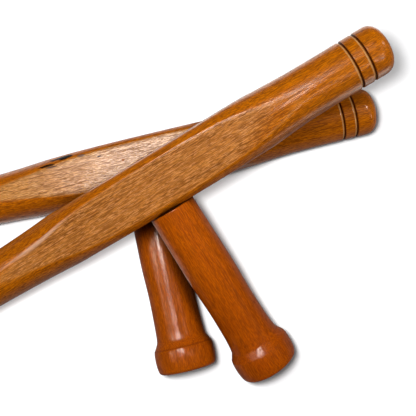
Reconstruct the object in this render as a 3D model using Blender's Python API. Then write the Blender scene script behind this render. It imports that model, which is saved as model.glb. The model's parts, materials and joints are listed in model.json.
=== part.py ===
"""A pair of wooden side-handle batons (tonfa), one lying level and one lying across it.

Each baton is three pieces of wood:
  shaft - a turned bar with four planed flats, two ring grooves near its short end
          and a round mortise bored straight through it for the grip;
  grip  - a turned side handle with a knob, a flat shoulder and a round through tenon;
  wedge - a thin hardwood wedge driven into the sawn end of the tenon.

Lengths are in millimetres and are scaled once, when a mesh or a location is written.
Local frame of a baton: X along the shaft towards the ringed end, the grip points along
-Y from the origin, and Z is up through the broad flat.
World frame: Z up, the floor is z = 0, X runs along the lower baton's shaft, and the
origin is the point of the floor under the place where the lower grip's axis crosses
the lower shaft's axis.
"""

import math

import bmesh
import bpy
from mathutils import Euler, Vector

MM = 0.001
GAP = 0.3                    # clearance between neighbouring pieces

# ---- shaft -------------------------------------------------------------------------
LONG_END_X = -334.0
SHORT_END_X = 169.5          # ringed end
FLAT_HALF_THICKNESS = 16.6   # top and bottom flats, z = +-16.6
FLAT_HALF_WIDTH = 18.7       # side flats, y = +-18.7
MID_RADIUS = 22.1            # turned radius at the grip
RING_RADIUS = 16.4           # turned radius at the ringed end
GROOVE_X = (144.0, 153.0)
# (x, turned radius) of the blank at stations along the shaft
STATIONS = (
    (LONG_END_X, 15.5),
    (-200.0, 15.6),
    (-140.0, 16.3),
    (-100.0, 17.6),
    (-60.0, 19.2),
    (-20.0, MID_RADIUS),
    (20.0, MID_RADIUS),
    (50.0, 20.6),
    (80.0, 19.0),
    (110.0, 16.9),
    (GROOVE_X[0], RING_RADIUS),
    (SHORT_END_X, RING_RADIUS),
)
SHORT_DOME_DEPTH = 11.0      # length over which the short end rounds over
LONG_DOME_DEPTH = 10.0       # the same at the long end
DOME_POWER = 2.4             # 2 is an ellipse, larger is squarer
DOME_POINTS = 7
DOME_DIVISIONS = 7.6         # above DOME_POINTS, so the last point stops short of the tip
COARSE_SPACING = 26.0        # between profile points left of FINE_START_X
FINE_SPACING = 12.0          # and from there on
FINE_START_X = -150.0
GROOVE_MARGIN = 8.0          # evenly spaced points stop this far before the first groove
GROOVE_WIDTH = 2.4
GROOVE_DEPTH = 1.3
# (offset from the groove's centre / width, cut / depth)
GROOVE_SECTION = ((-0.5, 0.0), (-0.09, 1.0), (0.09, 1.0), (0.5, 0.0))
STOCK_OVERHANG = 10.0        # how far the flat-cutting stock runs past each end
SHAFT_STEPS = 40             # facets round the turned blank

# ---- grip, measured along its axis from the shaft's axis ---------------------------
TENON_RADIUS = 10.0
TENON_EDGE = 0.4             # bevel on the tenon's end
MORTISE_RADIUS = TENON_RADIUS + GAP
BORE_HALF_LENGTH = 40.0
SHOULDER = FLAT_HALF_WIDTH + GAP   # flat shoulder against the shaft's side flat
SHOULDER_EDGE = 0.7          # eased edge of the shoulder
SHOULDER_RADIUS = 16.2
WAIST_RADIUS = 15.9
NECK_RADIUS = 16.3
NECK = 117.0                 # where the cove under the knob begins
HAND_STEPS = 6               # profile spans from the shoulder to the neck
COVE_STEPS = 5
COVE_POWER = 2.2             # larger keeps the cove low for longer
KNOB_START = 128.5
KNOB_END = 146.7
KNOB_RADIUS = 21.0
KNOB_SIDE_RADIUS = 21.2      # the knob swells slightly midway along its side
KNOB_RIM = 3.6               # rounded rim at the end face
KNOB_RIM_STEPS = 5
KNOB_LIP = 1.6               # rounded lip above the cove
COVE_END = KNOB_START - KNOB_LIP
COVE_END_RADIUS = KNOB_RADIUS - 0.4 * KNOB_LIP
LIP_POINTS = (               # (distance, radius)
    (KNOB_START - 0.35 * KNOB_LIP, KNOB_RADIUS - 0.08 * KNOB_LIP),
    (KNOB_START + 0.5, KNOB_RADIUS),
)
GRIP_STEPS = 36              # facets round the grip and the bore

# ---- kerf and wedge ----------------------------------------------------------------
KERF_DEPTH = 22.0
KERF_MOUTH = 3.6             # width of the sawn and spread kerf at the tenon's end
KERF_FLOOR = 1.4             # and at its bottom
KERF_TAPER = 0.5 * (KERF_MOUTH - KERF_FLOOR) / KERF_DEPTH   # of each side
KERF_OVERRUN = 2.0           # how far the cutter runs past the tenon's end
KERF_HALF_WIDTH = TENON_RADIUS + 3.0
WEDGE_LENGTH = 21.0
WEDGE_HALF_WIDTH = 9.2

# ---- how the two batons lie, and their colours -------------------------------------
# location in mm; rotation in degrees: roll about X, pitch about Y, yaw about Z
BATONS = {
    "lower": {
        "location": (0.0, 0.0, 17.17),
        "rotation": (-1.70, -0.18, 0.0),
        "colours": {
            "shaft": (0.36, 0.135, 0.040),
            "grip": (0.33, 0.075, 0.016),
            "wedge": (0.42, 0.20, 0.080),
        },
    },
    "upper": {
        "location": (10.0, -21.9, 56.31),
        "rotation": (14.64, -7.24, 16.58),
        "colours": {
            "shaft": (0.32, 0.110, 0.028),
            "grip": (0.36, 0.085, 0.016),
            "wedge": (0.45, 0.22, 0.090),
        },
    },
}


def clear_scene():
    for obj in list(bpy.data.objects):
        bpy.data.objects.remove(obj, do_unlink=True)


def wood(name, colour):
    material = bpy.data.materials.new(name)
    material.use_nodes = True
    inputs = material.node_tree.nodes["Principled BSDF"].inputs
    inputs["Base Color"].default_value = (*colour, 1.0)
    inputs["Roughness"].default_value = 0.3
    inputs["Metallic"].default_value = 0.0
    return material


# ---- solids and cutters ------------------------------------------------------------
def link_object(name, data):
    obj = bpy.data.objects.new(name, data)
    bpy.context.scene.collection.objects.link(obj)
    return obj


def solid_object(name, bm):
    """Turn a closed bmesh into a linked object with outward normals."""
    bmesh.ops.recalc_face_normals(bm, faces=bm.faces[:])
    mesh = bpy.data.meshes.new(name)
    bm.to_mesh(mesh)
    bm.free()
    return link_object(name, mesh)


def lathe(name, profile, axis, steps):
    """Spin an open (distance, radius) profile about `axis` into one closed solid."""
    axis = Vector(axis)
    outward = Vector((0.0, 0.0, 1.0))
    bm = bmesh.new()
    verts = [
        bm.verts.new((axis * distance + outward * radius) * MM)
        for distance, radius in profile
    ]
    edges = [bm.edges.new(pair) for pair in zip(verts, verts[1:])]
    bmesh.ops.spin(
        bm,
        geom=verts + edges,
        cent=(0.0, 0.0, 0.0),
        axis=axis,
        angle=2.0 * math.pi,
        steps=steps,
        use_merge=True,
    )
    # close the poles, where every copy of an end point coincides
    bmesh.ops.remove_doubles(bm, verts=bm.verts[:], dist=1e-6)
    obj = solid_object(name, bm)
    obj.data.shade_smooth()
    obj.data.set_sharp_from_angle(angle=math.radians(30.0))
    return obj


def prism(name, corners, half_z):
    """A closed prism: corners (x, y) in order, extruded from -half_z to +half_z."""
    bm = bmesh.new()
    base = [bm.verts.new((x * MM, y * MM, -half_z * MM)) for x, y in corners]
    face = bm.faces.new(base)
    grown = bmesh.ops.extrude_face_region(bm, geom=[face])
    moved = [part for part in grown["geom"] if isinstance(part, bmesh.types.BMVert)]
    bmesh.ops.translate(bm, verts=moved, vec=(0.0, 0.0, 2.0 * half_z * MM))
    return solid_object(name, bm)


def tapered_prism(name, floor_y, floor_half, mouth_y, mouth_half, half_z):
    """A prism whose half thickness in X goes from floor_half to mouth_half along Y."""
    corners = (
        (-floor_half, floor_y),
        (floor_half, floor_y),
        (mouth_half, mouth_y),
        (-mouth_half, mouth_y),
    )
    return prism(name, corners, half_z)


def cut(piece, cutter, operation, frame):
    """Hide the cutter under the frame and apply it to the piece as a live boolean."""
    cutter.hide_render = True
    cutter.display_type = "WIRE"
    cutter.parent = frame
    modifier = piece.modifiers.new(operation.lower(), "BOOLEAN")
    modifier.object = cutter
    modifier.operation = operation
    modifier.solver = "EXACT"


# ---- shaft -------------------------------------------------------------------------
def monotone_slopes(points):
    """Slopes that keep a cubic through the points from overshooting."""
    secants = [(y1 - y0) / (x1 - x0) for (x0, y0), (x1, y1) in zip(points, points[1:])]
    slopes = [secants[0]]
    for before, after in zip(secants, secants[1:]):
        if before * after <= 0.0:
            slopes.append(0.0)
        else:
            slopes.append(2.0 * before * after / (before + after))
    slopes.append(secants[-1])
    return slopes


STATION_SLOPES = monotone_slopes(STATIONS)


def turned_radius(x):
    """Radius of the turned blank at x, before the domes and grooves."""
    i = next(i for i in range(len(STATIONS) - 1) if x <= STATIONS[i + 1][0])
    (x0, radius0), (x1, radius1) = STATIONS[i:i + 2]
    slope0, slope1 = STATION_SLOPES[i:i + 2]
    span = x1 - x0
    t = (x - x0) / span
    return (
        (1 + 2 * t) * (1 - t) ** 2 * radius0
        + t * (1 - t) ** 2 * span * slope0
        + t * t * (3 - 2 * t) * radius1
        + t * t * (t - 1) * span * slope1
    )


def end_dome(base_x, reach):
    """(x, radius) from just past base_x to near the tip; reach is signed."""
    points = []
    for k in range(1, DOME_POINTS + 1):
        u = math.sin(0.5 * math.pi * k / DOME_DIVISIONS)
        radius = turned_radius(base_x) * (1.0 - u ** DOME_POWER) ** (1.0 / DOME_POWER)
        points.append((base_x + reach * u, radius))
    return points


def shaft_profile():
    """(x, radius) from the long end's centre to the ringed end's centre."""
    long_base = LONG_END_X + LONG_DOME_DEPTH
    short_base = SHORT_END_X - SHORT_DOME_DEPTH
    points = [(LONG_END_X, 0.0)]
    points += reversed(end_dome(long_base, -LONG_DOME_DEPTH))
    x = long_base
    while x < GROOVE_X[0] - GROOVE_MARGIN:
        points.append((x, turned_radius(x)))
        x += COARSE_SPACING if x < FINE_START_X else FINE_SPACING
    for centre in GROOVE_X:
        for offset, depth in GROOVE_SECTION:
            x = centre + offset * GROOVE_WIDTH
            points.append((x, turned_radius(x) - depth * GROOVE_DEPTH))
    points.append((short_base, turned_radius(short_base)))
    points += end_dome(short_base, SHORT_DOME_DEPTH)
    points.append((SHORT_END_X, 0.0))
    return points


def make_shaft(prefix, frame):
    """Turned blank, planed to four flats and bored for the tenon."""
    shaft = lathe(prefix + "_shaft", shaft_profile(), (1.0, 0.0, 0.0), SHAFT_STEPS)
    x0 = LONG_END_X - STOCK_OVERHANG
    x1 = SHORT_END_X + STOCK_OVERHANG
    y = FLAT_HALF_WIDTH
    corners = ((x0, -y), (x1, -y), (x1, y), (x0, y))
    stock = prism(prefix + "_stock", corners, FLAT_HALF_THICKNESS)
    cut(shaft, stock, "INTERSECT", frame)
    bore_profile = (
        (-BORE_HALF_LENGTH, 0.0),
        (-BORE_HALF_LENGTH, MORTISE_RADIUS),
        (BORE_HALF_LENGTH, MORTISE_RADIUS),
        (BORE_HALF_LENGTH, 0.0),
    )
    bore = lathe(prefix + "_bore", bore_profile, (0.0, -1.0, 0.0), GRIP_STEPS)
    cut(shaft, bore, "DIFFERENCE", frame)
    return shaft


# ---- grip --------------------------------------------------------------------------
def grip_profile():
    """(distance, radius) from the tenon's end to the knob's end face."""
    hand_start = SHOULDER + SHOULDER_EDGE
    points = [
        (-FLAT_HALF_WIDTH, 0.0),
        (-FLAT_HALF_WIDTH, TENON_RADIUS - TENON_EDGE),
        (-FLAT_HALF_WIDTH + TENON_EDGE, TENON_RADIUS),
        (SHOULDER, TENON_RADIUS),
        (SHOULDER, SHOULDER_RADIUS - SHOULDER_EDGE),
        (hand_start, SHOULDER_RADIUS),
    ]
    # slightly waisted hand length
    waist_sag = 0.5 * (SHOULDER_RADIUS + NECK_RADIUS) - WAIST_RADIUS
    for k in range(1, HAND_STEPS + 1):
        t = k / HAND_STEPS
        straight = SHOULDER_RADIUS + (NECK_RADIUS - SHOULDER_RADIUS) * t
        sag = waist_sag * 4.0 * t * (1.0 - t)
        points.append((hand_start + (NECK - hand_start) * t, straight - sag))
    # cove that sweeps out to the knob
    for k in range(1, COVE_STEPS + 1):
        t = k / COVE_STEPS
        radius = NECK_RADIUS + (COVE_END_RADIUS - NECK_RADIUS) * t ** COVE_POWER
        points.append((NECK + (COVE_END - NECK) * t, radius))
    # rounded lip, swelling side, rounded rim, flat end
    points += LIP_POINTS
    rim_start = KNOB_END - KNOB_RIM
    points.append((0.5 * (KNOB_START + rim_start), KNOB_SIDE_RADIUS))
    for k in range(KNOB_RIM_STEPS + 1):
        angle = math.radians(90.0 - 90.0 * k / KNOB_RIM_STEPS)
        distance = rim_start + KNOB_RIM * math.cos(angle)
        points.append((distance, KNOB_RADIUS - KNOB_RIM + KNOB_RIM * math.sin(angle)))
    points.append((KNOB_END, 0.0))
    return points


def make_grip(prefix, frame):
    """Turned in one piece with its tenon, whose end is sawn for the wedge."""
    grip = lathe(prefix + "_grip", grip_profile(), (0.0, -1.0, 0.0), GRIP_STEPS)
    kerf = tapered_prism(
        prefix + "_kerf",
        floor_y=FLAT_HALF_WIDTH - KERF_DEPTH,
        floor_half=0.5 * KERF_FLOOR,
        mouth_y=FLAT_HALF_WIDTH + KERF_OVERRUN,
        mouth_half=0.5 * KERF_MOUTH + KERF_TAPER * KERF_OVERRUN,
        half_z=KERF_HALF_WIDTH,
    )
    cut(grip, kerf, "DIFFERENCE", frame)
    return grip


# ---- wedge -------------------------------------------------------------------------
def make_wedge(prefix):
    """Sits in the kerf with clearance, its wide faces across the shaft's grain."""
    mouth_half = 0.5 * KERF_MOUTH - GAP
    return tapered_prism(
        prefix + "_wedge",
        floor_y=FLAT_HALF_WIDTH - WEDGE_LENGTH,
        floor_half=mouth_half - KERF_TAPER * WEDGE_LENGTH,
        mouth_y=FLAT_HALF_WIDTH,
        mouth_half=mouth_half,
        half_z=WEDGE_HALF_WIDTH,
    )


# ---- assembly ----------------------------------------------------------------------
def make_baton(prefix, location, rotation, colours):
    """One baton under its own empty, whose origin is where the two axes cross."""
    frame = link_object(prefix + "_baton", None)
    frame.rotation_mode = "XYZ"
    frame.location = Vector(location) * MM
    frame.rotation_euler = Euler([math.radians(angle) for angle in rotation], "XYZ")
    pieces = {
        "shaft": make_shaft(prefix, frame),
        "grip": make_grip(prefix, frame),
        "wedge": make_wedge(prefix),
    }
    for part, piece in pieces.items():
        piece.parent = frame
        piece.data.materials.append(wood(piece.name + "_wood", colours[part]))


clear_scene()
for baton_name, settings in BATONS.items():
    make_baton(baton_name, **settings)
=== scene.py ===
# Two varnished hardwood batons on a sheet of paper, one called lower and one upper.
# Each is a shaft with two turned grooves near one end, crossed by a grip with a knob. The grip's
# tenon runs through a bore in the shaft and is spread by a wedge.
# In a baton's own frame, in mm: X runs along the shaft to its grooved end, -Y along the grip
# to its knob, and Z up through the broad flat. The bore is at the origin.
import json
import math

import bmesh
import bpy
from mathutils import Matrix, Vector, noise


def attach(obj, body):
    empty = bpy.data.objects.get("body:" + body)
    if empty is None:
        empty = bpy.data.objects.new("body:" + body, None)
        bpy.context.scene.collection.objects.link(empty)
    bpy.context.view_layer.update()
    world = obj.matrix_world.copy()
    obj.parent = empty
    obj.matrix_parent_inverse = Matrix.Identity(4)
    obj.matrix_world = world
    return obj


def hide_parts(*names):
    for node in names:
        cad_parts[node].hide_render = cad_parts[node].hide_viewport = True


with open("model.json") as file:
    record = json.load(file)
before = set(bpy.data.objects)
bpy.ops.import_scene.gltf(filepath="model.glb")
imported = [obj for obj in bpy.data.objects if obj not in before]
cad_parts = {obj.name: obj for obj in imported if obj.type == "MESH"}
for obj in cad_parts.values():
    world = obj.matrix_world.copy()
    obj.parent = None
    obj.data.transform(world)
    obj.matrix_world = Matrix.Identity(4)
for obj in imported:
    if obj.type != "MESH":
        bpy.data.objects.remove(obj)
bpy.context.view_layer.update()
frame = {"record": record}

MM = 0.001
MOUNTS = {m["name"]: m for m in frame["record"]["mounts"]}

# ------------------------------------------------------------------ shaft sizes, mm
LONG_END_X, SHORT_END_X = -334.0, 169.97
TAIL_LENGTH, TAIL_POWER = 10.0, 2.4  # rounding of the long end
TAIL_X = LONG_END_X + TAIL_LENGTH
NOSE_X, NOSE_POWER = 159.1, 2.7  # rounding of the grooved end
CAP_RINGS = 14
TURNED_STATIONS = (  # x, radius of the turned blank
    (-334.0, 15.5), (-200.0, 15.6), (-140.0, 16.3), (-100.0, 17.5), (-76.0, 18.9),
    (-60.0, 20.3), (-42.0, 21.4), (-15.0, 22.0), (20.0, 22.0), (50.0, 21.3),
    (75.0, 19.6), (88.0, 18.2), (100.0, 17.3), (112.0, 16.8), (144.0, 16.5), (170.0, 16.5),
)
GROOVES = (144.0, 153.0)
GROOVE_DEPTH = 1.05
GROOVE_BOTTOM = 1.2
# planed faces: half distance between them at the grip, then (start x, rise, run) of the
# parabola by which they lift off towards the grooved end and towards the long end
TOP_FLAT = (16.6, (90.0, 0.50, 14.0), (-112.0, 0.30, 20.0))
SIDE_FLAT = (18.7, (66.0, 0.4, 14.0), (-52.0, 0.4, 14.0))
FLAT_LIMIT = 60.0
CREASE_POWER, MELTED_POWER = 46.0, 14.0  # sharp and softened creases
UNEVENNESS = 0.10

# ------------------------------------------------------------------ grip sizes, mm
# s is the distance along the grip's axis, from the shaft's axis towards the knob
TENON_R, BORE_R = 10.05, 10.2
TENON_END_S = -18.45
SHOULDER_S, SHOULDER_R, SHOULDER_ROUND = 18.95, 15.8, 0.7
KNOB_LINE_S, KNOB_END_S = 130.4, 146.7
KNOB_R, KNOB_RIM, KNOB_CROWN = 20.5, 2.9, 0.12
HANDHOLD_STATIONS = (  # s, radius
    (SHOULDER_S + SHOULDER_ROUND, SHOULDER_R), (45.0, 16.16), (70.0, 16.5), (95.0, 16.0),
    (112.0, 16.3), (120.0, 16.75), (125.0, 17.4), (128.0, 18.9), (130.2, 20.2),
)
KNOB_STATIONS = (  # s, radius
    (130.45, 20.45), (133.0, 20.95), (137.5, 21.15), (141.5, 20.95), (144.0, 20.5),
)
KERF_DEPTH, KERF_WIDE, KERF_NARROW = 22.0, 3.4, 1.5
WEDGE_LENGTH, WEDGE_HALF, WEDGE_EASE = 20.5, 9.3, 0.22


# ------------------------------------------------------------------ small tools
def curve_through(points):
    """A monotone cubic through (x, value) points, level beyond both ends."""
    pairs = list(zip(points, points[1:]))
    secants = [(b[1] - a[1]) / (b[0] - a[0]) for a, b in pairs]
    slopes = [secants[0]]
    for before, after in zip(secants, secants[1:]):
        turning = before * after <= 0
        slopes.append(0.0 if turning else 2 * before * after / (before + after))
    slopes.append(secants[-1])

    def value(x):
        if x <= points[0][0]:
            return points[0][1]
        for ((x0, v0), (x1, v1)), slope0, slope1 in zip(pairs, slopes, slopes[1:]):
            if x <= x1:
                h = x1 - x0
                t = (x - x0) / h
                return (
                    (1 + 2 * t) * (1 - t) ** 2 * v0 + t * (1 - t) ** 2 * h * slope0
                    + t * t * (3 - 2 * t) * v1 + t * t * (t - 1) * h * slope1
                )
        return points[-1][1]

    return value


def clip(value, low, high):
    return min(high, max(low, value))


def smoothstep(start, end, x):
    t = clip((x - start) / (end - start), 0.0, 1.0)
    return t * t * (3 - 2 * t)


def stepped(x, end, step):
    while x < end:
        yield x
        x += step


def link(obj):
    bpy.context.scene.collection.objects.link(obj)
    return obj


def object_from(bm, name):
    """A smooth-shaded object from bm, which is freed."""
    bmesh.ops.recalc_face_normals(bm, faces=bm.faces[:])
    mesh = bpy.data.meshes.new(name)
    bm.to_mesh(mesh)
    bm.free()
    mesh.shade_smooth()
    return link(bpy.data.objects.new(name, mesh))


def mesh_object(name, verts, faces):
    mesh = bpy.data.meshes.new(name)
    mesh.from_pydata(verts, [], faces)
    bm = bmesh.new()
    bm.from_mesh(mesh)
    bpy.data.meshes.remove(mesh)
    return object_from(bm, name)


def carve(obj, cutter):
    """Subtracts cutter from obj and removes it."""
    mod = obj.modifiers.new("carve", "BOOLEAN")
    mod.operation = "DIFFERENCE"
    mod.solver = "EXACT"
    mod.object = cutter
    depsgraph = bpy.context.evaluated_depsgraph_get()
    mesh = bpy.data.meshes.new_from_object(obj.evaluated_get(depsgraph), depsgraph=depsgraph)
    obj.modifiers.remove(mod)
    old = obj.data
    obj.data = mesh
    bpy.data.meshes.remove(old)
    bpy.data.objects.remove(cutter)
    return obj


def lathe_mesh(name, profile, seed, steps=120, wobble=0.08):
    """Spins (s, radius) about the grip's axis, -Y, with a turner's slight unevenness."""
    verts, faces, rows = [], [], []
    for s, radius in profile:
        if radius < 1e-6:
            rows.append([len(verts)])
            verts.append((0.0, -s, 0.0))
            continue
        row = []
        for j in range(steps):
            a = 2 * math.pi * j / steps
            c, d = math.cos(a), math.sin(a)
            uneven = 0.0
            if radius > 10.5:  # the tenon stays true
                uneven = wobble * noise.noise(Vector((s * 0.03 + seed, c, d)))
            row.append(len(verts))
            verts.append(((radius + uneven) * c, -s, (radius + uneven) * d))
        rows.append(row)
    for a, b in zip(rows, rows[1:]):
        for j in range(steps):
            k = (j + 1) % steps
            if len(a) == 1:
                faces.append((a[0], b[k], b[j]))
            elif len(b) == 1:
                faces.append((a[j], a[k], b[0]))
            else:
                faces.append((a[j], a[k], b[k], b[j]))
    return mesh_object(name, verts, faces)


# ------------------------------------------------------------------ shaft
turned_radius = curve_through(TURNED_STATIONS)


def groove_depth(x):
    """A V cut with a long wall on the grip's side and a steep one towards the tip."""
    if x < -1.5 or x > 1.25:
        return 0.0
    if x < 0.15:
        return GROOVE_DEPTH * smoothstep(-1.5, 0.9, x) / 0.768
    if x < 0.55:
        return GROOVE_DEPTH + 0.15 * math.sin(math.pi * (x - 0.15) / 0.8)
    u = (1.25 - x) / 0.70
    return GROOVE_BOTTOM * u * u * (3 - 2 * u)


def blank_radius(x):
    radius = turned_radius(x)
    for groove in GROOVES:
        radius -= groove_depth(x - groove)
    return radius


def flat_distance(x, flat):
    """How far a planed face is from the shaft's axis."""
    distance, (tip_x, tip_rise, tip_run), (long_x, long_rise, long_run) = flat
    if x > tip_x:
        distance += tip_rise * ((x - tip_x) / tip_run) ** 2
    if x < long_x:
        distance += long_rise * ((long_x - x) / long_run) ** 2
    return min(distance, FLAT_LIMIT)


def quadrant_angles(x):
    """Angles round one quadrant, gathered where the creases are."""
    radius = turned_radius(x)
    side_angle = math.acos(min(1.0, flat_distance(x, SIDE_FLAT) / radius))
    side_angle = clip(side_angle, math.radians(7.0), math.radians(44.0))
    top_angle = math.asin(min(1.0, flat_distance(x, TOP_FLAT) / radius))
    top_angle = clip(top_angle, math.radians(46.0), math.radians(83.0))
    side, corner, top = 7, 12, 11  # steps on each part
    angles = [side_angle * (1 - (1 - k / side) ** 2.1) for k in range(side)]
    for k in range(corner):
        u = k / corner
        angles.append(side_angle + (top_angle - side_angle) * (0.5 - 0.5 * math.cos(math.pi * u)))
    for k in range(top):
        angles.append(top_angle + (0.5 * math.pi - top_angle) * (k / top) ** 2.1)
    return angles


def section(x, seed, scale):
    """(y, z) round the shaft: a turned circle cut by four planed flats, with eased creases."""
    radius = blank_radius(x)
    top, side = flat_distance(x, TOP_FLAT), flat_distance(x, SIDE_FLAT)
    quadrant = quadrant_angles(x)
    upper = quadrant + [0.5 * math.pi] + [math.pi - a for a in reversed(quadrant[1:])]
    ring = upper + [math.pi] + [-a for a in reversed(upper) if 0 < a < math.pi]
    points = []
    for a in ring:
        c, d = math.cos(a), math.sin(a)
        # towards the grooved end the planes melt into the round, sooner away from the grip
        away = smoothstep(-3.0, 3.0, radius * c)
        melt = away * smoothstep(60.0, 84.0, x) + 0.45 * (1 - away) * smoothstep(92.0, 106.0, x)
        power = CREASE_POWER + (MELTED_POWER - CREASE_POWER) * melt
        total = radius ** -power + (abs(c) / side) ** power + (abs(d) / top) ** power
        uneven = noise.noise(Vector((x * 0.021 + seed, c * 0.9, d * 0.9)))
        uneven += 0.4 * noise.noise(Vector((x * 0.07 + seed, c * 2.1, d * 2.1)))
        reach = (total ** (-1.0 / power) + UNEVENNESS * uneven) * scale
        points.append((reach * c, reach * d))
    return points


def cap_ring(k, power):
    """How far out along a rounded end its ring k lies, and the ring's scale, both 0 to 1."""
    u = math.sin(0.5 * math.pi * k / (CAP_RINGS + 0.35))
    return u, (1.0 - u ** power) ** (1.0 / power)


def shaft_rings():
    """(x, scale) of every ring, closely spaced at the grooves."""
    rings = []
    for k in range(CAP_RINGS, 0, -1):
        u, scale = cap_ring(k, TAIL_POWER)
        rings.append((TAIL_X - TAIL_LENGTH * u, scale))
    body = list(stepped(TAIL_X, -150.0, 4.0))
    body += stepped(-148.0, GROOVES[0] - 2.4, 2.4)
    x = GROOVES[0] - 1.9
    while x <= GROOVES[1] + 1.7 + 1e-6:
        body.append(x)
        x += 0.17 if min(abs(x - groove + 0.1) for groove in GROOVES) < 1.5 else 0.55
    body += stepped(GROOVES[1] + 2.4, NOSE_X - 0.3, 1.1)
    rings += [(x, 1.0) for x in body + [NOSE_X]]
    for k in range(1, CAP_RINGS + 1):
        u, scale = cap_ring(k, NOSE_POWER)
        rings.append((NOSE_X + (SHORT_END_X - NOSE_X) * u, scale))
    return rings


def shaft_mesh(name, seed):
    rings = shaft_rings()
    verts, faces = [], []
    for x, scale in rings:
        ring = section(clip(x, TAIL_X, NOSE_X), seed, scale)
        verts.extend((x, y, z) for y, z in ring)
    count = len(ring)
    last = (len(rings) - 1) * count
    for a in range(0, last, count):
        b = a + count
        for j in range(count):
            k = (j + 1) % count
            faces.append((a + j, b + j, b + k, a + k))
    long_pole, short_pole = len(verts), len(verts) + 1
    verts += [(LONG_END_X, 0.0, 0.0), (SHORT_END_X, 0.0, 0.0)]
    for j in range(count):
        k = (j + 1) % count
        faces.append((long_pole, j, k))
        faces.append((short_pole, last + k, last + j))
    obj = mesh_object(name, verts, faces)
    # the bore for the grip's tenon runs right through, side to side
    bore = [(-30.0, 0.0), (-30.0, BORE_R), (30.0, BORE_R), (30.0, 0.0)]
    return carve(obj, lathe_mesh(name + "_bore", bore, seed=0.0, steps=72, wobble=0.0))


# ------------------------------------------------------------------ grip and wedge
def grip_profile(knob_scale):
    """(s, radius) from the tenon's end, through shoulder and handhold, to the knob's end."""
    end = TENON_END_S
    points = [
        (end, 0.0), (end, 5.0), (end, TENON_R - 0.45), (end + 0.15, TENON_R - 0.15),
        (end + 0.45, TENON_R), (0.0, TENON_R), (18.9, TENON_R),
        (SHOULDER_S, TENON_R + 0.15), (SHOULDER_S, 12.0), (SHOULDER_S, 14.0),
    ]
    for k in range(6):
        a = 0.5 * math.pi * k / 5
        points.append((SHOULDER_S + SHOULDER_ROUND * (1 - math.cos(a)),
                       SHOULDER_R - SHOULDER_ROUND + SHOULDER_ROUND * math.sin(a)))
    handhold = curve_through(HANDHOLD_STATIONS)
    points += [(s, handhold(s)) for s in stepped(21.0, 112.0, 3.0)]
    for s in stepped(114.0, 130.2, 0.8):
        points.append((s, handhold(s) * (1 + (knob_scale - 1) * smoothstep(112.0, 128.0, s))))
    # a fine turned shoulder where the cove meets the knob, then a barrel-shaped side
    points += [(130.3, 20.3 * knob_scale), (130.55, 20.5 * knob_scale)]
    knob = curve_through(KNOB_STATIONS)
    points += [(s, knob(s) * knob_scale) for s in stepped(131.2, 143.9, 0.9)]
    for k in range(9):
        a = 0.5 * math.pi * k / 8
        points.append((KNOB_END_S - KNOB_RIM + KNOB_RIM * math.sin(a),
                       (KNOB_R - KNOB_RIM + KNOB_RIM * math.cos(a)) * knob_scale))
    for radius in (14.0, 10.0, 6.0, 2.5):
        points.append((KNOB_END_S + KNOB_CROWN * (1 - (radius / 17.0) ** 2), radius))
    points.append((KNOB_END_S + KNOB_CROWN, 0.0))
    return points


def taper_block(name, y0, y1, width0, width1, half, ease):
    """A block from y0 to y1, tapering along X, reaching half to each side along Z."""
    bm = bmesh.new()
    bmesh.ops.create_cube(bm, size=1.0)
    for v in bm.verts:
        t = 0.0 if v.co.y > 0 else 1.0
        width = width0 + (width1 - width0) * t
        v.co = Vector((math.copysign(0.5 * width, v.co.x), y0 + (y1 - y0) * t,
                       math.copysign(half, v.co.z)))
    if ease > 0:
        tapering = [e for e in bm.edges if abs(e.verts[0].co.y - e.verts[1].co.y) > 1.0]
        bmesh.ops.subdivide_edges(bm, edges=tapering, cuts=6, use_grid_fill=True)
        corners = [e for e in bm.edges if e.calc_face_angle(0.0) > 0.7]
        bmesh.ops.bevel(bm, geom=corners, offset=ease, segments=3, affect="EDGES",
                        clamp_overlap=True)
    return object_from(bm, name)


def grip_mesh(name, seed, knob_scale):
    obj = lathe_mesh(name, grip_profile(knob_scale), seed)
    # the saw kerf that the wedge spreads, open at the tenon's end
    kerf = taper_block(name + "_kerf", y0=-TENON_END_S + 1.0, y1=-TENON_END_S - KERF_DEPTH,
                       width0=KERF_WIDE + 0.14, width1=KERF_NARROW, half=14.0, ease=0.0)
    return carve(obj, kerf)


def wedge_mesh(name):
    y0 = -TENON_END_S - 0.1
    return taper_block(name, y0=y0, y1=y0 - WEDGE_LENGTH, width0=KERF_WIDE,
                       width1=KERF_NARROW + 0.05, half=WEDGE_HALF, ease=WEDGE_EASE)


# ------------------------------------------------------------------ where each baton lies
def baton_frame(body):
    """The baton's own frame, from its knob end and its top flat in the record."""
    knob, top = MOUNTS[body + "_knob_end"], MOUNTS[body + "_top_flat"]
    y = -Vector(knob["axis"]).normalized()
    z = Vector(top["axis"]).normalized()
    x = y.cross(z).normalized()
    z = x.cross(y)
    placed = Matrix((x, y, z)).transposed().to_4x4()
    placed.translation = Vector(knob["pos_m"]) + y * KNOB_END_S * MM
    return placed


def surface_measures(kind, x, y, z):
    """grain: place, grain direction first; crease: height over the flats' creases, top and
    side; groove: distance from the turned lines."""
    if kind != "shaft":
        line = clip(-y - KNOB_LINE_S, -3, 3) if kind == "grip" else 3.0
        return (-y, x, z), (-6.0, -6.0, 0.0), (line, 3.0, 0.0)
    a = math.atan2(abs(z), abs(y))
    body_x = clip(x, TAIL_X, NOSE_X)
    radius = turned_radius(body_x)
    top = radius - flat_distance(body_x, TOP_FLAT) / max(math.sin(a), 1e-3)
    side = radius - flat_distance(body_x, SIDE_FLAT) / max(math.cos(a), 1e-3)
    lines = [clip(x - groove, -3, 3) for groove in GROOVES]
    return (x, y, z), (clip(top, -6, 6), clip(side, -6, 6), 0.0), (*lines, 0.0)


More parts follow.
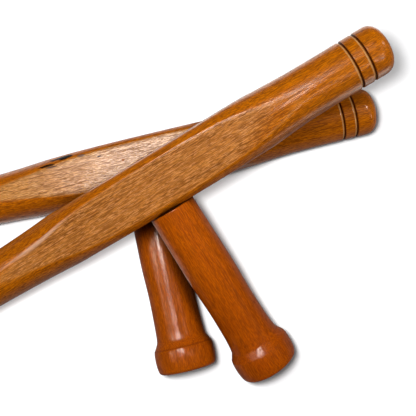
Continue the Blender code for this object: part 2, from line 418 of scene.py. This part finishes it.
def settle(obj, body, kind):
    """Stores the surface's measures as attributes, then puts the mesh in place in metres."""
    mesh = obj.data
    measures = zip(*[surface_measures(kind, *v.co) for v in mesh.vertices])
    for name, vectors in zip(("grain", "crease", "groove"), list(measures)):
        layer = mesh.attributes.new(name, "FLOAT_VECTOR", "POINT")
        layer.data.foreach_set("vector", [value for vector in vectors for value in vector])
    mesh.transform(Matrix.Diagonal((MM, MM, MM, 1)))
    mesh.transform(baton_frame(body))
    mesh.shade_smooth()
    mesh.set_sharp_from_angle(angle=math.radians(52.0))
    mesh.update()


# ------------------------------------------------------------------ node building
class Graph:
    """Small helper for building nodes; each method returns the new node's output."""

    def __init__(self, tree):
        self.tree = tree

    def node(self, kind, **settings):
        n = self.tree.nodes.new(kind)
        for key, value in settings.items():
            setattr(n, key, value)
        return n

    def put(self, socket, value):
        if isinstance(value, bpy.types.NodeSocket):
            self.tree.links.new(value, socket)
        else:
            socket.default_value = value

    def math(self, op, *values, clamp=False):
        n = self.node("ShaderNodeMath", operation=op, use_clamp=clamp)
        for socket, value in zip(n.inputs, values):
            self.put(socket, value)
        return n.outputs[0]

    def chain(self, op, first, *others):
        for other in others:
            first = self.math(op, first, other)
        return first

    def plus(self, *values):
        return self.chain("ADD", *values)

    def minus(self, a, b):
        return self.math("SUBTRACT", a, b)

    def times(self, *values):
        return self.chain("MULTIPLY", *values)

    def vmath(self, op, a, *b):
        n = self.node("ShaderNodeVectorMath", operation=op)
        for socket, value in zip(n.inputs, (a, *b)):
            self.put(socket, value)
        return n.outputs[1] if op == "LENGTH" else n.outputs[0]

    def split(self, vector):
        n = self.node("ShaderNodeSeparateXYZ")
        self.put(n.inputs[0], vector)
        return n.outputs

    def attribute(self, name):
        n = self.node("ShaderNodeAttribute", attribute_name=name, attribute_type="GEOMETRY")
        return n.outputs["Vector"]

    def ramp(self, value, start, end, first=0.0, last=1.0):
        """Smoothly from first, where value is start, to last, where it is end."""
        n = self.node("ShaderNodeMapRange", interpolation_type="SMOOTHSTEP")
        self.put(n.inputs["Value"], value)
        n.inputs["From Min"].default_value = start
        n.inputs["From Max"].default_value = end
        n.inputs["To Min"].default_value = first
        n.inputs["To Max"].default_value = last
        return n.outputs["Result"]

    def noise(self, vector, scale, detail, rough=0.5):
        n = self.node("ShaderNodeTexNoise", noise_dimensions="3D")
        self.put(n.inputs["Vector"], vector)
        n.inputs["Scale"].default_value = scale
        n.inputs["Detail"].default_value = detail
        n.inputs["Roughness"].default_value = rough
        n.inputs["Distortion"].default_value = 0.0
        return n.outputs["Fac"]

    def streaks(self, vector, along, across, offset=(0, 0, 0), detail=2.0, rough=0.5):
        """Noise with its own frequency (per mm) along the grain and across it."""
        n = self.node("ShaderNodeMapping")
        self.put(n.inputs["Vector"], vector)
        n.inputs["Scale"].default_value = (along, across, across)
        n.inputs["Location"].default_value = offset
        return self.noise(n.outputs[0], 1.0, detail, rough)

    def centred(self, value, amount):
        """Noise shifted to swing about zero, times amount."""
        return self.times(self.minus(value, 0.5), amount)

    def mix(self, factor, a, b, blend="MIX"):
        n = self.node("ShaderNodeMix", data_type="RGBA", blend_type=blend)
        self.put(n.inputs["Factor"], factor)
        self.put(n.inputs["A"], (*a, 1) if isinstance(a, tuple) else a)
        self.put(n.inputs["B"], (*b, 1) if isinstance(b, tuple) else b)
        return n.outputs["Result"]

    def blend(self, factor, a, b):
        n = self.node("ShaderNodeMix", data_type="FLOAT")
        self.put(n.inputs["Factor"], factor)
        self.put(n.inputs["A"], a)
        self.put(n.inputs["B"], b)
        return n.outputs["Result"]

    def bump(self, height, strength, distance):
        n = self.node("ShaderNodeBump")
        n.inputs["Strength"].default_value = strength
        n.inputs["Distance"].default_value = distance
        self.put(n.inputs["Height"], height)
        return n.outputs[0]


# ------------------------------------------------------------------ varnished hardwood
COAT_IOR = 1.36
HEART_BROWN = (0.165, 0.052, 0.008)
PORE_BROWN = (0.085, 0.019, 0.003)
WORN_VARNISH = (0.66, 0.25, 0.035)
# the pale tint of a painted highlight along one crease
CREASE_HIGHLIGHT_TINT = (0.84, 0.54, 0.38)
END_GRAIN = (0.15, 0.035, 0.006)
# painted light in the grooves: a pale highlight on the lip, shade in the bottom
GROOVE_LIP_HIGHLIGHT, GROOVE_BOTTOM_SHADE = (0.52, 0.29, 0.105), (0.060, 0.011, 0.003)
KNOB_LINE_DARK = (0.10, 0.018, 0.003)
KNOB_STAIN = (0.55, 0.42, 0.5)
PORE_STRENGTH = 0.66
FLAT_SHEEN = 0.20


def flat_mask(g, place, top_crease):
    """1 on the broad flats; gives out towards the grooved end, sooner on the grip's side."""
    skew = g.minus(place[0], g.times(place[1], 1.7))
    return g.times(g.ramp(top_crease, start=-0.15, end=0.45), g.ramp(skew, start=98.0, end=66.0),
                   g.ramp(place[1], start=-19.0, end=-8.0, first=0.55, last=1.0))


def late_wood(g, here, place, pith, spacing, seed):
    """Year rings about the pith; slow wander closes their streaks into long ovals."""
    wander = g.streaks(here, along=0.011, across=0.030, offset=(seed, 2.1 * seed, 0.0))
    waver = g.streaks(here, along=0.035, across=0.11, offset=(0.0, 3.3, seed))
    y, z = g.minus(place[1], pith[0]), g.minus(place[2], pith[1])
    radius = g.math("SQRT", g.plus(g.times(y, y), g.times(z, z)))
    radius = g.plus(radius, g.centred(wander, amount=26.0), g.centred(waver, amount=5.0))
    rings = g.math("FRACT", g.math("DIVIDE", radius, spacing))
    late = g.times(g.ramp(rings, start=0.25, end=0.93), g.ramp(rings, start=1.0, end=0.93))
    year = g.streaks(here, along=0.004, across=0.09, offset=(0, 0, 5.0 + seed), rough=0.6)
    return g.times(late, g.ramp(year, start=0.35, end=0.70, first=0.25, last=1.0))


def wood_tone(g, here, late, fine, hair, figure, seed):
    """0 for light wood, 1 for dark: rings, fibres and broad streaks together."""
    broad = g.streaks(here, along=0.008, across=0.12, offset=(3.0, 0.0, 1.0), detail=3.0,
                      rough=0.55)
    streak = g.streaks(here, along=0.018, across=0.42, offset=(11.0, 4.0, seed), detail=3.0,
                       rough=0.6)
    tone = g.plus(g.times(late, 0.13), g.times(g.ramp(fine, start=0.36, end=0.62), 0.58),
                  g.times(g.ramp(broad, start=0.38, end=0.66), 0.11),
                  g.times(g.ramp(streak, start=0.42, end=0.70), 0.15))
    tone = g.math("MULTIPLY", tone, g.plus(0.72, g.times(hair, 0.56)), clamp=True)
    return g.plus(0.5 - 0.5 * figure, g.times(tone, figure))


def pore_mask(g, here):
    """Dashes a few millimetres long along the grain, some rows crowded and some sparser."""
    rows = g.streaks(here, along=0.014, across=0.26, offset=(0, 6.0, 1.0))
    rows = g.ramp(rows, start=0.36, end=0.62, first=0.80, last=1.0)
    dash = g.streaks(here, along=0.30, across=2.5, offset=(0.0, 8.0, 3.0), detail=0.0)
    dash = g.times(g.ramp(dash, start=0.50, end=0.66), rows)
    long_dash = g.streaks(here, along=0.10, across=2.2, offset=(5.0, 2.0, 6.0), detail=0.0)
    long_dash = g.times(g.ramp(long_dash, start=0.55, end=0.66), rows)
    prick = g.streaks(here, along=0.50, across=2.9, offset=(4.0, 0.0, 9.0), detail=0.0)
    prick = g.ramp(prick, start=0.54, end=0.68)
    return g.math("MAXIMUM", g.math("MAXIMUM", dash, long_dash), g.times(prick, 0.55))


def add_marks(g, colour, position, fine, marks):
    """Dark ovals with ragged edges; also returns their mask, or None without marks."""
    stained = None
    for centre, radii, tint, strength in marks:
        offset = g.vmath("SUBTRACT", position, centre)
        offset = g.vmath("MULTIPLY", offset, tuple(1.0 / r for r in radii))
        distance = g.plus(g.vmath("LENGTH", offset), g.centred(fine, amount=0.9))
        spot = g.times(g.ramp(distance, start=1.05, end=0.72), strength)
        colour = g.mix(spot, colour, tint)
        stained = spot if stained is None else g.math("MAXIMUM", stained, spot)
    return colour, stained


def shaft_lines(g, colour, lines, rub):
    """Painted light on each groove: a pale painted highlight on the lip on the grip's side, and
    painted shade in its bottom.
    """
    pale, deep = [], []
    for line in lines[:2]:
        pale.append(g.times(g.ramp(line, start=-1.50, end=-1.00),
                            g.ramp(line, start=-0.05, end=-0.40)))
        deep.append(g.times(g.ramp(line, start=-0.15, end=0.25),
                            g.ramp(line, start=1.15, end=0.75)))
    pale, deep = g.math("MAXIMUM", *pale), g.math("MAXIMUM", *deep)
    # the painted lip highlight is dappled by the same noise as the crease wear
    worn = g.ramp(rub, start=0.25, end=0.6, first=0.42, last=0.84)
    colour = g.mix(g.times(pale, worn), colour, GROOVE_LIP_HIGHLIGHT)
    colour = g.mix(g.times(deep, 0.86), colour, GROOVE_BOTTOM_SHADE)
    return colour, g.math("MAXIMUM", deep, g.times(pale, 0.45))


def grip_lines(g, colour, lines, place, ridge, knob_stain):
    """A dark line at the knob, and stain gathering towards the knob."""
    line = g.times(g.ramp(lines[0], start=-1.1, end=-0.2), g.ramp(lines[0], start=0.35, end=0.0))
    colour = g.mix(g.times(line, ridge), colour, KNOB_LINE_DARK)
    along = g.ramp(place[0], start=35.0, end=128.0)
    colour = g.mix(g.times(along, knob_stain), colour, KNOB_STAIN, "MULTIPLY")
    return colour, g.times(line, 0.3)


def wood(name, light, dark, flat_light, flat_dark, ray, pith, seed, spacing, pores=1.0, marks=(),
         knob_stain=None, round_sheen=0.16, ridge=0.35, figure=1.0, peel_size=0.8, broken=0.5,
         crease_highlight=0.0):
    """Varnished wood; pith is (y, z) and spacing the ring width, in mm. knob_stain is None on
    a shaft. ridge is the knob line's strength, figure the contrast, peel_size the varnish's
    fine ripple, broken how far pores break the shine, crease_highlight the strength of a
    painted pale highlight along one crease."""
    mat = bpy.data.materials.new(name)
    mat.use_nodes = True
    g = Graph(mat.node_tree)
    surface = mat.node_tree.nodes["Principled BSDF"].inputs
    is_shaft = knob_stain is None
    position = g.attribute("grain")
    top_crease, side_crease = g.split(g.attribute("crease"))[:2]
    lines = g.split(g.attribute("groove"))
    here = g.vmath("ADD", position, (seed * 17.3, 0.0, 0.0))
    place = g.split(position)

    flat = flat_mask(g, place, top_crease)
    late = late_wood(g, here, place, pith, spacing, seed)
    fine = g.streaks(here, along=0.08, across=1.9, rough=0.60)
    hair = g.streaks(here, along=0.16, across=5.5, offset=(7.0, 0.0, 0.0), rough=0.6)
    tone = wood_tone(g, here, late, fine, hair, figure, seed)
    # the planed flats get their own colours, paler and bluer than the round: partly the wood,
    # partly a painted sheen standing in for their veil of reflection
    colour = g.mix(flat, g.mix(tone, light, dark), g.mix(tone, flat_light, flat_dark))

    # brown heart streaks, a few millimetres across and several centimetres long
    heart = g.streaks(here, along=0.010, across=0.20, offset=(seed * 2.0, 9.0, 2.0), rough=0.55)
    heart = g.ramp(heart, start=0.53, end=0.69)
    colour = g.mix(g.times(heart, g.blend(flat, 0.10, 0.20)), colour, HEART_BROWN)

    pore = pore_mask(g, here)
    strength = g.blend(flat, PORE_STRENGTH * pores, PORE_STRENGTH * pores)
    colour = g.mix(g.math("MULTIPLY", pore, strength, clamp=True), colour, PORE_BROWN)
    # pale flecks of ray between the pores
    fleck = g.streaks(here, along=0.22, across=2.2, offset=(9.0, 2.0, 5.0), detail=0.0)
    fleck = g.times(g.ramp(fleck, start=0.50, end=0.66), g.minus(1.0, pore))
    colour = g.mix(g.times(fleck, g.blend(flat, 0.36, 0.40)), colour, g.mix(flat, light, ray))
    colour, stained = add_marks(g, colour, position, fine, marks)

    # handling thins the varnish to paler wood on the creases
    near_top = g.ramp(g.math("ABSOLUTE", top_crease), start=0.85, end=0.0)
    near_side = g.ramp(g.math("ABSOLUTE", side_crease), start=0.7, end=0.0)
    rub = g.streaks(here, along=0.06, across=0.25, offset=(1.0, 5.0, 0.0), detail=3.0, rough=0.6)
    wear = g.times(g.math("MAXIMUM", near_top, near_side),
                   g.ramp(rub, start=0.38, end=0.62, first=0.15, last=0.8))
    colour = g.mix(g.times(wear, 0.26), colour, WORN_VARNISH)
    if crease_highlight:
        # a painted highlight: the flat's crease away from the grip is painted pale along the long
        # end
        along = g.times(g.ramp(place[0], start=-48.0, end=-84.0),
                        g.ramp(place[1], start=4.0, end=8.0),
                        g.ramp(g.math("ABSOLUTE", top_crease), start=1.05, end=0.25),
                        g.ramp(rub, start=0.30, end=0.55, first=0.45, last=1.0))
        colour = g.mix(g.times(along, crease_highlight), colour, CREASE_HIGHLIGHT_TINT)
    # end grain: the year rings show on the sawn faces
    if is_shaft:
        sawn = g.math("MAXIMUM", g.ramp(place[0], start=168.0, end=169.0),
                      g.ramp(place[0], start=-331.0, end=-332.5))
    else:
        sawn = g.ramp(place[0], start=145.6, end=146.6)
    colour = g.mix(g.times(g.times(sawn, late), 0.55), colour, END_GRAIN)
    if is_shaft:
        colour, sunk = shaft_lines(g, colour, lines, rub)
    else:
        colour, sunk = grip_lines(g, colour, lines, place, ridge, knob_stain)

    # painted shade: darkens the colour in the crevices where the pieces meet and close to the
    # floor
    near = g.node("ShaderNodeAmbientOcclusion", samples=8)
    near.inputs["Distance"].default_value = 0.016
    painted_shade_level = g.ramp(near.outputs["AO"], start=0.30, end=0.86, first=0.22, last=1.0)
    shade = g.node("ShaderNodeCombineColor")
    for k in range(3):
        g.put(shade.inputs[k], painted_shade_level)
    g.put(surface["Base Color"], g.mix(1.0, colour, shade.outputs[0], "MULTIPLY"))

    # the varnish sinks into the open pores, so they break up the shine
    shine = g.minus(1.0, g.times(pore, g.blend(flat, broken, 0.72)))
    shine = g.times(shine, g.ramp(fine, start=0.62, end=0.36, first=0.72, last=1.0))
    if not is_shaft:
        # the polish is worn in narrow lines along the grain
        worn = g.streaks(here, along=0.022, across=1.0, offset=(3.0, 7.0, 2.0), detail=1.0)
        shine = g.times(shine, g.ramp(worn, start=0.42, end=0.56, first=0.36, last=1.0))
    if stained is not None:
        shine = g.times(shine, g.minus(1.0, g.times(stained, 0.65)))
    # the same painted shade also dims the varnish's shine in the crevices
    shine = g.times(shine, painted_shade_level)
    # the shine is also taken away in the grooves, under their painted highlight and shade, and on
    # the knob's dark line
    g.put(surface["Coat Weight"], g.times(shine, g.minus(1.0, g.times(sunk, 0.85))))

    # satin wood under a clear coat
    patches = g.streaks(here, along=0.05, across=0.16, offset=(2.0, 2.0, 2.0), detail=3.0,
                        rough=0.6)
    rough = g.plus(g.blend(flat, 0.42, 0.50), g.centred(patches, amount=0.22),
                   g.times(pore, 0.12))
    g.put(surface["Roughness"], rough)
    coat_rough = g.plus(g.blend(flat, round_sheen, FLAT_SHEEN), g.centred(patches, amount=0.10),
                        g.times(wear, 0.06))
    g.put(surface["Coat Roughness"], coat_rough)
    surface["Coat IOR"].default_value = COAT_IOR
    surface["IOR"].default_value = 1.45
    surface["Specular IOR Level"].default_value = 0.02

    # relief: pores sunk, fibres raised, and a faint brush ripple in the varnish
    height = g.minus(g.plus(g.times(fine, 0.55), g.times(hair, 0.35)), g.times(pore, 0.9))
    g.put(surface["Normal"], g.bump(height, strength=0.35, distance=0.00012))
    ripple = g.streaks(here, along=0.07 if is_shaft else 0.016, across=0.24,
                       offset=(5.0, 1.0, 1.0))
    peel = g.streaks(here, along=0.75, across=1.35, detail=1.0)
    film = g.plus(g.times(ripple, 1.0), g.times(peel, g.blend(flat, peel_size, 0.12)),
                  g.times(height, g.blend(flat, 0.22, 0.34)))
    g.put(surface["Coat Normal"], g.bump(film, strength=0.5, distance=0.00010))
    return mat


LOWER_SHAFT_MARKS = (  # centre, radii along each axis, colour, strength
    ((-64.0, 11.5, 15.9), (6.6, 1.05, 2.0), (0.002, 0.001, 0.001), 1.0),
    ((-50.6, 15.0, 14.7), (6.2, 2.3, 3.2), (0.003, 0.002, 0.001), 1.0),
    ((-56.8, 15.1, 14.2), (6.4, 1.2, 2.2), (0.008, 0.005, 0.004), 0.95),
    ((-60.7, 10.0, 16.3), (4.8, 0.6, 1.2), (0.045, 0.025, 0.022), 0.95),
    ((-38.8, 13.0, 16.2), (3.0, 1.1, 1.4), (0.11, 0.075, 0.065), 0.8),
    ((-26.6, 9.4, 16.6), (1.6, 0.5, 1.2), (0.02, 0.010, 0.008), 0.95),
    ((-10.6, 2.7, 16.6), (1.1, 1.0, 1.5), (0.26, 0.055, 0.001), 1.0),
)
GRIP_LOOK = dict(flat_light=(0.5, 0.09, 0.004), flat_dark=(0.27, 0.035, 0.001), figure=0.8,
                 peel_size=2.0)
WEDGE_LOOK = dict(light=(0.42, 0.17, 0.040), dark=(0.22, 0.075, 0.015),
                  flat_light=(0.4, 0.17, 0.04), flat_dark=(0.2, 0.07, 0.01),
                  ray=(0.5, 0.2, 0.05), spacing=2.6, pores=0.5, knob_stain=0.0)
LOOKS = {
    "lower_shaft": dict(
        light=(0.58, 0.156, 0.0010), dark=(0.38, 0.081, 0.0005),
        flat_light=(0.61, 0.255, 0.040), flat_dark=(0.42, 0.152, 0.020), ray=(0.75, 0.38, 0.10),
        pith=(-55.0, -38.0), seed=3.0, spacing=4.1, marks=LOWER_SHAFT_MARKS),
    "upper_shaft": dict(
        light=(0.61, 0.168, 0.0010), dark=(0.42, 0.092, 0.0005),
        flat_light=(0.63, 0.232, 0.040), flat_dark=(0.44, 0.141, 0.024), ray=(0.82, 0.38, 0.14),
        pith=(46.0, -62.0), seed=8.0, spacing=3.7, crease_highlight=0.52),
    "lower_grip": dict(
        GRIP_LOOK, light=(0.57, 0.116, 0.0004), dark=(0.33, 0.050, 0.0003),
        ray=(0.60, 0.12, 0.002), pith=(-30.0, -48.0), seed=5.0, spacing=5.0, pores=0.7,
        knob_stain=0.08, round_sheen=0.11, ridge=0.4, broken=0.85),
    "upper_grip": dict(
        GRIP_LOOK, light=(0.65, 0.133, 0.0004), dark=(0.41, 0.062, 0.0003),
        ray=(0.64, 0.14, 0.002), pith=(38.0, -55.0), seed=12.0, spacing=6.0, pores=0.75,
        knob_stain=0.45, round_sheen=0.13, ridge=0.0, broken=0.75),
    "lower_wedge": dict(WEDGE_LOOK, pith=(20.0, -30.0), seed=2.0),
    "upper_wedge": dict(WEDGE_LOOK, pith=(24.0, -34.0), seed=6.0),
}
MATERIALS = {piece: wood(piece + "_wood", **look) for piece, look in LOOKS.items()}

# ------------------------------------------------------------------ the two batons
PIECES = {}
for body, seed, knob_scale in (("lower", 3.7, 0.98), ("upper", 11.3, 1.01)):
    prefix = "vis_" + body
    made = {
        "shaft": shaft_mesh(prefix + "_shaft", seed),
        "grip": grip_mesh(prefix + "_grip", seed + 5.0, knob_scale),
        "wedge": wedge_mesh(prefix + "_wedge"),
    }
    for kind, obj in made.items():
        piece = body + "_" + kind
        settle(obj, body, kind)
        obj.data.materials.append(MATERIALS[piece])
        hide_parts(piece)
        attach(obj, body + "_baton")
        PIECES[piece] = obj

ALL = list(PIECES.values())
LOWER_SHAFT, UPPER_SHAFT = [PIECES["lower_shaft"]], [PIECES["upper_shaft"]]
LOWER_GRIP, UPPER_GRIP = [PIECES["lower_grip"]], [PIECES["upper_grip"]]
SHAFTS = LOWER_SHAFT + UPPER_SHAFT
GRIPS = [obj for obj in ALL if obj not in SHAFTS]  # with their wedges
LOW_PIECES = [obj for obj in ALL if obj not in UPPER_SHAFT]


# ------------------------------------------------------------------ floor
def paper():
    """Pale to the camera, darker in what it reflects onto the wood."""
    mat = bpy.data.materials.new("paper")
    mat.use_nodes = True
    g = Graph(mat.node_tree)
    surface = mat.node_tree.nodes["Principled BSDF"].inputs
    place = g.node("ShaderNodeTexCoord").outputs["Object"]
    ray = g.node("ShaderNodeLightPath").outputs
    seen = g.mix(ray["Is Camera Ray"], (0.24, 0.24, 0.24), (0.93, 0.93, 0.935))
    g.put(surface["Base Color"], g.mix(ray["Is Diffuse Ray"], seen, (0.34, 0.34, 0.34)))
    mottle = g.noise(place, scale=60.0, detail=3.0)
    g.put(surface["Roughness"], g.ramp(mottle, start=0.0, end=1.0, first=0.7, last=0.9))
    surface["Specular IOR Level"].default_value = 0.1
    # far from the batons the paper glows a little, so that it stays pale from every side
    surface["Emission Color"].default_value = (1.0, 0.995, 0.985, 1.0)
    glow = g.ramp(g.vmath("LENGTH", place), start=0.34, end=1.30, first=0.0, last=0.80)
    g.put(surface["Emission Strength"], g.times(glow, ray["Is Camera Ray"]))
    return mat


bpy.ops.mesh.primitive_plane_add(size=8.0, location=(0, 0, -0.0002))
floor = bpy.context.object
floor.name = "floor"
floor.data.materials.append(paper())

# ------------------------------------------------------------------ camera
lens = bpy.data.cameras.new("camera")
lens.lens = 53.85
lens.sensor_width = 36.0
camera = link(bpy.data.objects.new("camera", lens))
camera.location = (0.04554, -0.08977, 0.45705)
camera.rotation_euler = [math.radians(a) for a in (5.908, 2.326, -13.327)]
bpy.context.scene.camera = camera
bpy.context.view_layer.update()
CAMERA_AXES = camera.matrix_world.to_3x3()

# ------------------------------------------------------------------ lights, in metres
CENTRE = Vector((0.035, -0.045, 0.035))  # what the softboxes stand round
# the boxes' radiances are set for a 4 % reflection; this fits them to the coat's own
BOOST = 0.04 / ((COAT_IOR - 1.0) / (COAT_IOR + 1.0)) ** 2


def collection_of(name, objects):
    group = bpy.data.collections.new(name)
    for obj in objects:
        group.objects.link(obj)
    return group


def radiance_power(radiance, size):
    """Watts for a one-sided area light of this radiance."""
    return radiance * math.pi * size[0] * size[1]


def area_light(name, size, power, location, rotation, receivers, group,
               tint=(1.0, 1.0, 1.0), diffuse=True, glossy=True):
    """A rectangular light that falls only on the receivers; group ends their collection's name."""
    light = bpy.data.lights.new(name, "AREA")
    light.shape = "RECTANGLE"
    light.size, light.size_y = size
    light.energy = power
    light.color = tint
    obj = link(bpy.data.objects.new(name, light))
    obj.location = location
    obj.rotation_euler = rotation
    obj.visible_diffuse = diffuse
    obj.visible_glossy = glossy
    obj.visible_camera = False
    obj.light_linking.receiver_collection = collection_of(name + group, receivers)
    return obj


def hold_back(light, blockers):
    """Lets only the blockers cast this light's shadows."""
    held = collection_of(light.name + "_held_back_by", blockers)
    light.light_linking.blocker_collection = held


def softbox(name, tilt, azimuth, distance, size, power, **settings):
    """A light facing CENTRE, tilted from the camera's axis; azimuth runs anticlockwise
    from the right of the camera's view. Both in degrees."""
    t, a = math.radians(tilt), math.radians(azimuth)
    direction = CAMERA_AXES @ Vector(
        (math.sin(t) * math.cos(a), math.sin(t) * math.sin(a), math.cos(t)))
    return area_light(name, size, power, CENTRE + direction * distance,
                      direction.to_track_quat("Z", "Y").to_matrix().to_euler(), **settings)


def form_light(name, tilt, azimuth, distance, side, radiance, receivers, group):
    """A square softbox that models the form and makes no highlight."""
    size = (side, side)
    softbox(name, tilt, azimuth, distance, size, radiance_power(radiance, size),
            receivers=receivers, group=group, glossy=False)


for row in (  # name, tilt, azimuth, distance, side, radiance, receivers, group
    ("key", 20.0, 122.0, 1.5, 0.85, 8.6, ALL, "_on_wood"),
    ("fill_right", 52.0, 15.0, 1.6, 1.2, 1.15, ALL, "_on_wood"),
    ("fill_top", 8.0, 60.0, 1.7, 1.5, 0.55, ALL, "_on_wood"),
    ("tip_fill", 42.0, 18.0, 0.50, 0.20, 2.9, SHAFTS, "_on_shafts"),
    ("tip_fill_low", 46.0, 10.0, 0.45, 0.20, 2.2, LOWER_SHAFT, "_on_shaft"),
):
    form_light(*row)

# the boxes that show in the varnish
for name, tilt, azimuth, distance, size, radiance, receivers, tint in (
    ("box_main", 21.8, 132.0, 1.05, (0.29, 0.50), 15.5, UPPER_SHAFT, (1.0, 0.95, 0.88)),
    ("box_grips", 21.8, 132.0, 1.05, (0.29, 0.50), 29.0, GRIPS, (1.0, 0.96, 0.88)),
    ("box_back", 22.6, 119.0, 1.05, (0.34, 0.52), 17.0, LOWER_SHAFT, (1.0, 0.99, 0.97)),
    ("box_dim", 18.0, 97.0, 1.05, (0.15, 0.19), 3.0, ALL, (1.0, 0.90, 0.55)),
    ("box_left", 44.0, 180.0, 1.1, (0.55, 0.45), 1.9, ALL, (1.0, 0.92, 0.80)),
    ("box_strip", 31.0, 29.0, 1.1, (0.08, 0.26), 1.6, ALL, (1.0, 0.90, 0.75)),
    ("box_grip", 41.0, 177.0, 1.1, (0.13, 0.40), 12.0, LOWER_GRIP, (1.0, 0.98, 0.75)),
    ("box_grip_right", 34.0, 28.0, 1.1, (0.10, 0.26), 2.2, LOWER_GRIP, (1.0, 0.92, 0.70)),
    ("box_tip", 35.0, 36.0, 1.1, (0.13, 0.13), 32.0, LOWER_SHAFT, (1.0, 0.92, 0.85)),
    ("box_tip_low", 63.6, -16.3, 1.18, (0.12, 0.12), 14.0, LOWER_SHAFT, (1.0, 0.92, 0.85)),
    ("box_tip_up", 49.2, -32.4, 1.17, (0.05, 0.22), 16.0, UPPER_SHAFT, (1.0, 0.92, 0.80)),
    ("box_tip_top", 60.0, 38.7, 1.25, (0.11, 0.11), 14.0, UPPER_SHAFT, (1.0, 0.92, 0.80)),
    ("box_grip_line", 22.0, 18.0, 1.1, (0.035, 0.20), 14.0, LOWER_GRIP, (1.0, 0.90, 0.82)),
    ("box_knob", 48.2, 67.8, 1.05, (0.06, 0.06), 22.0, UPPER_GRIP, (1.0, 0.92, 0.86)),
    ("box_knob_left", 49.1, 179.2, 1.06, (0.09, 0.05), 10.0, UPPER_GRIP, (1.0, 0.92, 0.86)),
    ("box_nose", 33.0, -44.0, 1.1, (0.11, 0.11), 6.5, UPPER_SHAFT, (1.0, 0.92, 0.72)),
    ("box_low_right", 43.5, -25.0, 1.1, (0.24, 0.26), 3.6, UPPER_SHAFT, (1.0, 0.92, 0.75)),
    ("box_arch", 23.9, -42.7, 1.1, (0.16, 0.14), 2.6, UPPER_SHAFT, (1.0, 0.92, 0.70)),
    ("box_right", 66.0, 36.0, 1.1, (0.30, 0.30), 3.0, UPPER_SHAFT, (1.0, 0.95, 0.85)),
):
    softbox(name, tilt, azimuth, distance, size, BOOST * radiance_power(radiance, size),
            receivers=receivers, group="_on_wood", tint=tint, diffuse=False)

# glowing cards just above the floor, facing up, each mirrored only in the wood it is kept to
CARD_Z = 0.004
# name, (x, y), size, turn in degrees, radiance, receivers, shaded by receivers only, tint
for name, place, size, turn, radiance, receivers, own_shade, tint in (
    ("edge_card", (0.2221044, -0.1225562), (0.11, 0.17), -13.3, 1.5,
     UPPER_SHAFT, False, (1.0, 0.93, 0.82)),
    ("edge_card_low", (-0.0990554, -0.0348823), (0.15, 0.05), 0.0, 0.42,
     LOWER_SHAFT, True, (1.0, 0.84, 0.76)),
    ("edge_card_back", (-0.0589838, 0.0583249), (0.20, 0.06), 0.0, 0.8,
     LOWER_SHAFT, True, (1.0, 0.93, 0.86)),
    ("edge_card_top", (0.0866131, 0.1435582), (0.34, 0.18), 15.7, 1.0,
     UPPER_SHAFT, True, (1.0, 0.92, 0.84)),
    ("edge_card_grip", (-0.0406445, -0.0698040), (0.075, 0.09), -75.3, 0.50,
     UPPER_GRIP, True, (1.0, 0.78, 0.66)),
):
    card = area_light(name, size, BOOST * radiance_power(radiance, size), (*place, CARD_Z),
                      (math.pi, 0.0, math.radians(turn)), receivers, "_on_wood",
                      tint=tint, diffuse=False)
    if own_shade:
        hold_back(card, receivers)

# the floor's own lights stand by the camera, so that shadows stay close to the wood;
# the second, further out, is held back only by the low pieces and widens their shadows
FLOOR_LIGHTS_POWER = 2.6607196  # W, shared between the two
FLOOR_LIGHT_DISTANCE = 0.46  # sets the strength of the even, distance-free light
FLOOR_LIGHT_ROLL = 150.6
for name, offset, size, share, blockers in (
    ("floor_light", (-0.040, 0.0225, 0.0), (0.062, 0.055), 0.70, ALL),
    ("floor_light_low", (-0.092, 0.052, 0.0), (0.105, 0.055), 0.30, LOW_PIECES),
):
    roll = Matrix.Rotation(math.radians(FLOOR_LIGHT_ROLL), 3, "Z")
    lamp = area_light(name, size, FLOOR_LIGHTS_POWER * share,
                      camera.location + CAMERA_AXES @ Vector(offset),
                      (CAMERA_AXES @ roll).to_euler(), [floor], "_on_floor", glossy=False)
    hold_back(lamp, blockers)
    lamp.data.use_nodes = True
    g = Graph(lamp.data.node_tree)
    falloff = g.node("ShaderNodeLightFalloff")
    falloff.inputs["Strength"].default_value = 1.0 / FLOOR_LIGHT_DISTANCE ** 2
    emission = next(n for n in g.tree.nodes if n.type == "EMISSION")
    g.put(emission.inputs["Strength"], falloff.outputs["Constant"])
form_light("floor_fill", tilt=6.0, azimuth=120.0, distance=1.8, side=2.4, radiance=0.46,
           receivers=[floor], group="_on_floor")

# ------------------------------------------------------------------ world and colour
world = bpy.data.worlds.new("studio")
bpy.context.scene.world = world
world.use_nodes = True
g = Graph(world.node_tree)
wall = world.node_tree.nodes["Background"].inputs
wall["Color"].default_value = (1.0, 0.995, 0.985, 1.0)
ray = g.node("ShaderNodeLightPath").outputs
g.put(wall["Strength"], g.blend(ray["Is Camera Ray"], 0.015, 0.90))  # dim to all but the camera
bpy.context.scene.view_settings.view_transform = "Standard"
bpy.context.scene.view_settings.look = "None"
